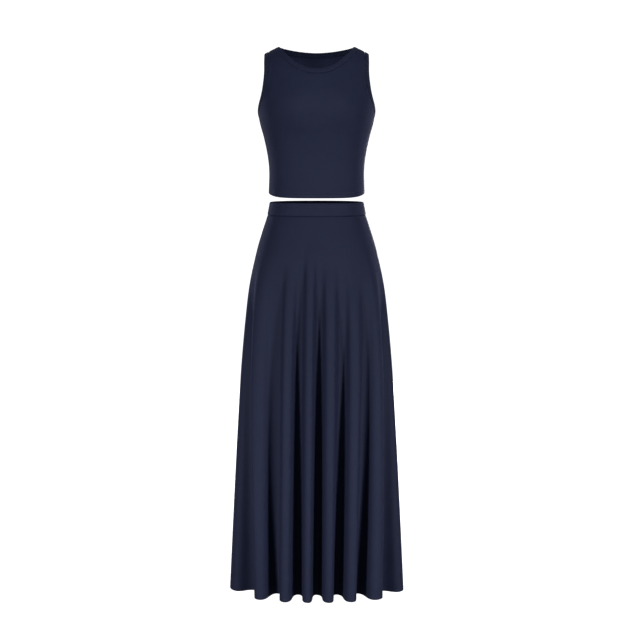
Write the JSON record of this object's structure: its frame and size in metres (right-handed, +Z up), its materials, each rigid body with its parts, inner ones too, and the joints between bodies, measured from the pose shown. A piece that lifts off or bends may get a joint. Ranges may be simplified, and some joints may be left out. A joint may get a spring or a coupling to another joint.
{
  "type": "two-piece crop top and long skirt uniform",
  "caption": "Sleeveless crop top with folded neck and armhole bands over a floor-length flared skirt with an elastic waistband and deep hanging folds.",
  "frame": {"origin": "centre of the waist opening, level with the waistband's top edge", "axes": "+Z up along the wearer, -Y towards the wearer's front, +X towards the wearer's left"},
  "size_m": [0.4582, 0.2996, 1.4116],
  "materials": {
    "jersey": "matt double-knit jersey, navy",
    "rib": "matt rib knit, navy, folded double",
    "elastic": "braided waist elastic, dark",
    "label": "white satin ribbon, blank"
  },
  "bodies": {
    "skirt": {"skirt_front_panel": "jersey", "skirt_back_panel": "jersey", "skirt_hem_turnup": "jersey", "skirt_left_side_seam": "jersey", "skirt_right_side_seam": "jersey", "waistband_front": "jersey", "waistband_back": "jersey", "waistband_elastic": "elastic", "waist_seam": "jersey"},
    "skirt_label": {"skirt_care_label": "label"},
    "top": {"top_front_panel": "jersey", "top_back_panel": "jersey", "neckband": "rib", "left_armhole_band": "rib", "right_armhole_band": "rib", "top_hem_turnup": "jersey", "top_left_side_seam": "jersey", "top_right_side_seam": "jersey", "top_left_shoulder_seam": "jersey", "top_right_shoulder_seam": "jersey"},
    "top_label": {"top_care_label": "label"}
  },
  "joints": [
    {"name": "top_lift", "type": "slide", "parent": "skirt", "child": "top", "axis": [0, 0, 1], "range_m": [0, 0.45]},
    {"name": "skirt_label_fold", "type": "hinge", "parent": "skirt", "child": "skirt_label", "pos_m": [0, 0.088, -0.041], "axis": [-1, 0, 0], "range_deg": [0, 150]},
    {"name": "top_label_fold", "type": "hinge", "parent": "top", "child": "top_label", "pos_m": [0.1149, 0, 0.083], "axis": [0, 0, 1], "range_deg": [0, 120]}
  ]
}
